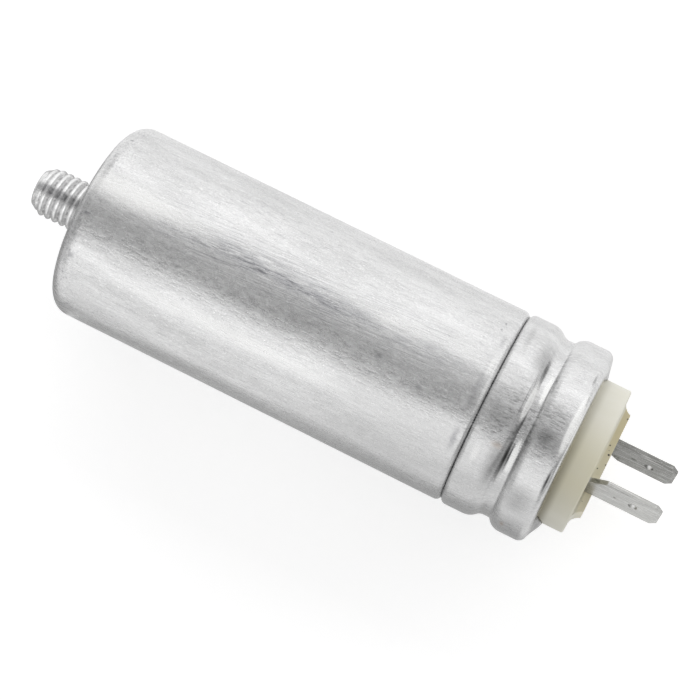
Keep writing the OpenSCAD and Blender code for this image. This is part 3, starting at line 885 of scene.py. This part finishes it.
def black_back(name, low_tilt, high_tilt):
    """A black sheet behind a lamp, which only reflections show."""
    half = BOX_FAR * math.tan((high_tilt - low_tilt) / 2)
    corners = rectangle((-BOX_L / 2, BOX_L / 2), (-half, half), 0)
    material, tree = cloth(name)
    matt(tree, 0)
    back = sheet(name, corners, [(0, 1, 2, 3)], material, REFLECTED_ONLY)
    face_can(back, (low_tilt + high_tilt) / 2, BOX_FAR + 0.01)


def glowing(name, corners, strength):
    """A flat card of one brightness that only reflections show."""
    material, tree = cloth(name)
    glow = tree.nodes.new("ShaderNodeEmission")
    glow.inputs["Strength"].default_value = strength
    tree.links.new(glow.outputs[0], tree.nodes["Material Output"].inputs[0])
    card = sheet(name, corners, [(0, 1, 2, 3)], material, REFLECTED_ONLY)


def side_card(name, away, strength):
    """A grey card stands across one end of the table."""
    low = CAD_BOX[0].z
    x = (CAD_BOX[0].x + CAD_BOX[1].x) / 2 + away
    foot = [(x, -CARD_HALF_W, low), (x, CARD_HALF_W, low)]
    corners = foot + [(x, CARD_HALF_W, CARD_H), (x, -CARD_HALF_W, CARD_H)]
    glowing(name, corners, strength)


def floor_shade(strength):
    """A painted shadow on the table close to the can, along its -Y side and beyond its base, seen
    only in reflections.
    """
    z = CAD_BOX[0].z + SHADE_RISE
    near = CAD_BOX[0].y - SHADE_GAP
    far = CAD_BOX[0].y - SHADE_W
    glowing("side_shade", rectangle(SIDE_SHADE_X, (far, near), z), strength)
    glowing("base_shade", rectangle(BASE_SHADE_X, (far, CAD_BOX[1].y), z), 0.85 * strength)


def grey_arch(low_tilt, high_tilt, dark, light):
    """A grey cloth arched over the can from end to end, round the camera, that metal reflects."""
    middle = (CAD_BOX[0] + CAD_BOX[1]) / 2
    verts = []
    for i in range(ARCH_STEPS + 1):
        turn = math.pi * i / ARCH_STEPS - QUARTER
        out = Vector((math.sin(turn), 0, math.cos(turn))) * ARCH_FAR
        for tilt in (low_tilt, high_tilt):
            verts.append(middle + out + Vector((0, ARCH_FAR * math.tan(tilt), 0)))
    faces = [(2 * i, 2 * i + 1, 2 * i + 3, 2 * i + 2) for i in range(ARCH_STEPS)]
    material, tree = cloth("grey_cloth")
    place = tree.nodes.new("ShaderNodeTexCoord")
    parts = tree.nodes.new("ShaderNodeSeparateXYZ")
    shade = tree.nodes.new("ShaderNodeMapRange")
    glow = tree.nodes.new("ShaderNodeEmission")
    shade.inputs["To Min"].default_value = dark
    shade.inputs["To Max"].default_value = light
    tree.links.new(place.outputs["Generated"], parts.inputs[0])
    tree.links.new(parts.outputs["Y"], shade.inputs["Value"])
    tree.links.new(shade.outputs[0], glow.inputs["Strength"])
    tree.links.new(glow.outputs[0], tree.nodes["Material Output"].inputs[0])
    arch = sheet("grey_arch", verts, faces, material, ("camera", "diffuse", "shadow"))


def camera():
    """Looks down on the lying can, a little from its terminal end, with the stud upper left."""
    lens = bpy.data.cameras.new("camera")
    lens.lens = LENS_MM
    lens.sensor_width = SENSOR_MM
    back = (CAMERA_PLACE - CAMERA_AIM).normalized()
    right = Vector((math.cos(CAMERA_ROLL), math.sin(CAMERA_ROLL), 0))
    right = (right - back * right.dot(back)).normalized()
    turn = Matrix((right, back.cross(right), back)).transposed()
    eye = placed("camera", lens)
    eye.matrix_world = Matrix.Translation(CAMERA_PLACE) @ turn.to_4x4()
    bpy.context.scene.camera = eye


# ---------------------------------------------------------------- making
def attach(piece, material, slot, *nodes):
    """Dresses a piece, lets it ride on the part's one body and stand for its CAD nodes."""
    dress(piece, material)
    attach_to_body(piece, "root")
    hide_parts(*nodes)


KEY_TILTS = (math.radians(42), math.radians(85))
FILL_TILTS = (math.radians(-66), math.radians(-30))
ARCH_TILTS = (math.radians(-20), math.radians(31))

camera()
white_room()
floor()
soft_box("key", *KEY_TILTS, 1.36)
black_back("key_back", *KEY_TILTS)
soft_box("fill", *FILL_TILTS, 0.36)
grey_arch(*ARCH_TILTS, 0.27, 0.85)
side_card("left_card", -CARD_FAR, 0.74)
side_card("right_card", CARD_FAR, 0.58)
floor_shade(0.52)

attach(can_shell(), aluminium(), "can_aluminium", "can")
attach(threaded_stud(), threaded_aluminium(), "can_aluminium", "can")
cover = eased_copy("terminal_cover", "cover", 0.25)
attach(cover, moulded_plastic(), "cover_plastic", "terminal_cover")
TABS = {                         # the blade's two tones and how dark its scratches are
    "near": ((0.45, 0.45, 0.435), (0.54, 0.54, 0.525), 0.3),
    # painted shade: the far blade, behind the near one, is the same metal painted darker
    "far": ((0.2, 0.2, 0.19), (0.3, 0.3, 0.29), 0.8),
}
for side, tones in TABS.items():
    blade = eased_copy("tab_" + side, "tab_%s_blade" % side, 0.06)
    attach(blade, tinned_metal("tinned_tab_" + side, *tones), "tab_metal", "tab_" + side)

# What the can hides: the material's name, its two tones, its grain and relief in mm, its surface
ZINC = ((0.2, 0.2, 0.21), (0.42, 0.42, 0.43),
        (0.3, 0.25, 0.25), 0.08, {"Metallic": 0.7, "Roughness": 0.6})
COPPER = ((0.62, 0.3, 0.15), (0.78, 0.44, 0.26),
          (1.2, 0.3, 0.3), 0.01, {"Metallic": 1.0, "Roughness": 0.3})
HIDDEN = {
    "rim_seal": ("black_rubber", (0.012, 0.012, 0.013), (0.03, 0.03, 0.032),
                 (0.6, 0.6, 0.6), 0.02, {"Roughness": 0.7}),
    "film_winding": ("metallised_film", (0.36, 0.38, 0.42), (0.62, 0.64, 0.68),
                     (12.0, 0.15, 0.15), 0.01, {"Metallic": 0.8, "Roughness": 0.25}),
    "core_tube": ("white_tube", (0.72, 0.72, 0.68), (0.8, 0.8, 0.77),
                  (8.0, 1.0, 1.0), 0.01, {"Roughness": 0.4}),
    "insulating_cup": ("natural_plastic", (0.68, 0.68, 0.62), (0.76, 0.76, 0.71),
                       (5.0, 3.0, 3.0), 0.01, {"Roughness": 0.38}),
    "insulating_disc": ("pressboard", (0.12, 0.07, 0.035), (0.25, 0.16, 0.09),
                        (0.3, 1.6, 0.25), 0.04, {"Roughness": 0.85}),
    "potting_resin": ("cast_resin", (0.36, 0.23, 0.08), (0.5, 0.35, 0.14),
                      (4.0, 3.0, 3.0), 0.02, {"Roughness": 0.18}),
    "lead_sleeve": ("red_sleeve", (0.3, 0.015, 0.01), (0.42, 0.03, 0.02),
                    (3.0, 0.6, 0.6), 0.01, {"Roughness": 0.45}),
    "sprayed_end_lower": ("sprayed_zinc_lower", *ZINC),
    "sprayed_end_upper": ("sprayed_zinc_upper", *ZINC),
    "lead_short": ("copper_wire_short", *COPPER),
    "lead_long": ("copper_wire_long", *COPPER),
}
for node, (name, dark, light, size, depth, surface) in HIDDEN.items():
    dress(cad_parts[node], plain_finish(name, dark, light, size, depth, **surface))

bpy.context.scene.view_settings.view_transform = "Standard"
bpy.context.view_layer.update()
